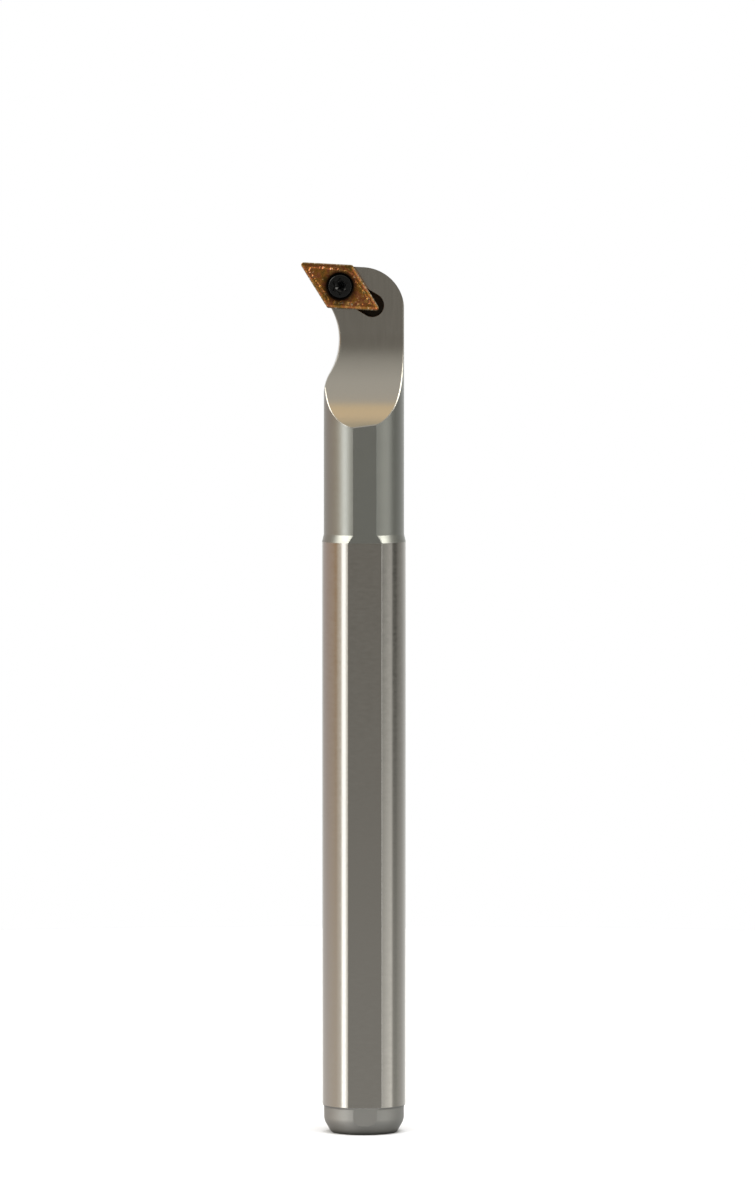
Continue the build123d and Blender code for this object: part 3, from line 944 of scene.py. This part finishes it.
# Walls of the studio by the angle to the left or right of the camera, high up and near the table.
HIGH_WALLS = (
    (-162, "#f8f8f6", 1.0), (-148, "#d0c8c6", 1.0), (-120, "#c6b2a8", 1.0), (-94, "#c2a892", 1.0),
    (-82, "#b8946c", 1.0), (-76, "#e0d0bc", 1.0), (-65, "#f4e8d8", 1.0), (-63, "#ffffff", 2.1),
    (-52, "#ffffff", 2.1), (-49, "#ece8de", 1.0), (-40, "#d0ccc2", 1.0), (-33, "#807c76", 1.0),
    (-8, "#7f7c76", 1.0), (19, "#84817b", 1.0), (21, "#ffffff", 1.3), (26, "#ffffff", 1.3),
    (28, "#7e7c77", 1.0), (60, "#9b9a96", 1.0), (82, "#bebcb8", 1.0), (88, "#5c5b57", 1.0),
    (100, "#5c5b57", 1.0), (107, "#86847f", 1.0), (126, "#aaa9a6", 1.0), (150, "#dcdcda", 1.0),
    (164, "#f8f8f6", 1.0),
)
LOW_WALLS = (
    (-162, "#f8f8f6", 1.0), (-148, "#d2cecb", 1.0), (-120, "#cbc4be", 1.0), (-94, "#ccc4b9", 1.0),
    (-82, "#ccc3b8", 1.0), (-76, "#d6cec4", 1.0), (-65, "#dcd6cc", 1.0), (-63, "#ffffff", 2.1),
    (-52, "#ffffff", 2.1), (-49, "#e4e0d8", 1.0), (-40, "#ccc9c2", 1.0), (-33, "#989692", 1.0),
    (-8, "#9a9894", 1.0), (19, "#9c9b97", 1.0), (21, "#ffffff", 1.2), (26, "#ffffff", 1.2),
    (28, "#9c9b97", 1.0), (60, "#dcdbd6", 1.0), (82, "#f0efea", 1.1), (88, "#a8a7a2", 1.0),
    (100, "#a0a09b", 1.0), (107, "#acaba6", 1.0), (126, "#bcbbb8", 1.0), (150, "#dcdcda", 1.0),
    (164, "#f8f8f6", 1.0),
)
# The ceiling from the horizon to straight above, by the height that a ray looks at.
CEILING = (
    (0.0, "#7f7c76"), (0.2, "#8a8882"), (0.37, "#b0aea8"), (0.65, "#ccc9c2"), (0.87, "#cecac2"),
    (0.89, "#fae2b8"), (0.968, "#ffe6c0"), (0.992, "#b6b4a4"),
)
# How much brighter the ceiling is at each angle, with a softbox on either side.
SOFTBOXES = (
    (-150, 1.2), (-100, 1.2), (-92, 1.4), (-74, 11.0), (-36, 11.0), (-28, 1.0), (41, 1.0),
    (47, 11.0), (66, 11.0), (82, 1.4), (96, 1.2), (150, 1.2),
)
# The walls are not evenly lit near the table: how bright they are by height.
BANDS_FROM, BANDS_TO = -0.14, -0.02
WALL_BANDS = (
    (-0.13, 1.14), (-0.118, 1.1), (-0.098, 0.98), (-0.08, 0.88), (-0.068, 0.8), (-0.055, 0.9),
    (-0.04, 1.02), (-0.03, 1.0),
)
# How the floor darkens away from straight below.
FLOORWARD = ((0.0, "#ffffff"), (0.12, "#f8f8f8"), (0.3, "#c4c4c4"), (1.0, "#c4c4c4"))


def by_angle(stops):
    """Stops given by degrees from the camera, as shares of the whole turn."""
    return [((angle - degrees(CAMERA_TURN) + 180) / 360, colour) for angle, colour in stops]


around_room = {
    name: add(sky, "ValToRGB", {"Fac": azimuth_share.outputs[0]}, by_angle(stops)).outputs["Color"]
    for name, stops in (
        ("high", [(a, [c * gain for c in linear(h)]) for a, h, gain in HIGH_WALLS]),
        ("low", [(a, [c * gain for c in linear(h)]) for a, h, gain in LOW_WALLS]),
        ("boxes", [(a, (gain, gain, gain, 1)) for a, gain in SOFTBOXES]),
    )
}
# Smooth steps on how far up a ray looks: wall to table, wall to ceiling, and so on.
step = {
    name: add(
        sky, "MapRange", {"Value": ray.outputs["Z"], "From Min": low, "From Max": high},
        interpolation_type="SMOOTHSTEP",
    ).outputs[0]
    for name, low, high in (
        ("table", -0.105, -0.06), ("floor", -0.4, -0.2),
        ("ceiling", 0.1, 0.27), ("zenith", 0.44, 0.62),
    )
}
walls = add(
    sky, "Mix", {SHARE: step["table"], FIRST: around_room["low"], SECOND: around_room["high"]},
    data_type="RGBA",
)
level = {"Value": ray.outputs["Z"], "From Min": BANDS_FROM, "From Max": BANDS_TO}
level = add(sky, "MapRange", level)
bands = [
    ((z - BANDS_FROM) / (BANDS_TO - BANDS_FROM), (gain, gain, gain, 1)) for z, gain in WALL_BANDS
]
banded = add(sky, "ValToRGB", {"Fac": level.outputs[0]}, bands).outputs["Color"]
walls = add(
    sky, "Mix", {SHARE: 1.0, FIRST: walls.outputs[MIXED], SECOND: banded},
    data_type="RGBA", blend_type="MULTIPLY",
)
stops = [(place, linear(colour)) for place, colour in CEILING]
ceiling = add(sky, "ValToRGB", {"Fac": ray.outputs["Z"]}, stops).outputs["Color"]
side_gain = add(
    sky, "Mix", {SHARE: step["zenith"], FIRST: around_room["boxes"], SECOND: linear("#ffffff")},
    data_type="RGBA",
)
lit = add(
    sky, "Mix", {SHARE: 1.0, FIRST: ceiling, SECOND: side_gain.outputs[MIXED]},
    data_type="RGBA", blend_type="MULTIPLY",
)
upper = add(
    sky, "Mix", {SHARE: step["ceiling"], FIRST: walls.outputs[MIXED], SECOND: lit.outputs[MIXED]},
    data_type="RGBA",
)
downwards = add(sky, "MapRange", {"Value": ray.outputs["Z"], "From Min": -1.0, "From Max": 0.0})
stops = [(place, linear(colour)) for place, colour in FLOORWARD]
fall = add(sky, "ValToRGB", {"Fac": downwards.outputs[0]}, stops).outputs["Color"]
below = add(
    sky, "Mix", {SHARE: 1.0, FIRST: around_room["low"], SECOND: fall},
    data_type="RGBA", blend_type="MULTIPLY",
)
room = add(
    sky, "Mix", {SHARE: step["floor"], FIRST: below.outputs[MIXED], SECOND: upper.outputs[MIXED]},
    data_type="RGBA",
)
direct = add(sky, "LightPath").outputs["Is Camera Ray"]
backdrop = add(
    sky, "Mix", {SHARE: direct, FIRST: room.outputs[MIXED], SECOND: linear("#ffffff")},
    data_type="RGBA",
)
glow = add(sky, "Background", {"Color": backdrop.outputs[MIXED]})
sky.links.new(glow.outputs[0], add(sky, "OutputWorld").inputs["Surface"])

lamp = bpy.data.lights.new("overhead_softbox", "AREA")
lamp.shape = "DISK"
lamp.size = 0.9
lamp.energy = 16.0
lamp.color = (0.96, 0.97, 1.0)
softbox = bpy.data.objects.new("overhead_softbox", lamp)
softbox.location = (0.05, -0.15, 1.25)
softbox.rotation_euler = Vector(softbox.location).to_track_quat("Z", "Y").to_euler()
softbox.visible_camera = False
softbox.visible_glossy = False
bpy.context.scene.collection.objects.link(softbox)

# ---------------------------------------------------------------- camera
PITCH = radians(3.4)
DISTANCE = 1221.7
AIM_HEIGHT = 76.59
AIM_RIGHT = 1.945
camera_data = bpy.data.cameras.new("camera")
camera_data.sensor_fit = "VERTICAL"
camera_data.sensor_height = 36.0
camera_data.lens = 255.6
camera_data.clip_end = 20.0
camera = bpy.data.objects.new("camera", camera_data)
right = Vector((cos(CAMERA_TURN), -sin(CAMERA_TURN), 0))
backwards = Vector((-sin(CAMERA_TURN) * cos(PITCH), -cos(CAMERA_TURN) * cos(PITCH), sin(PITCH)))
camera.location = (Vector((0, 0, AIM_HEIGHT)) + right * AIM_RIGHT + backwards * DISTANCE) * MM
camera.rotation_euler = (-backwards).to_track_quat("-Z", "Y").to_euler()
bpy.context.scene.collection.objects.link(camera)
bpy.context.scene.camera = camera
bpy.context.scene.view_settings.view_transform = "Standard"
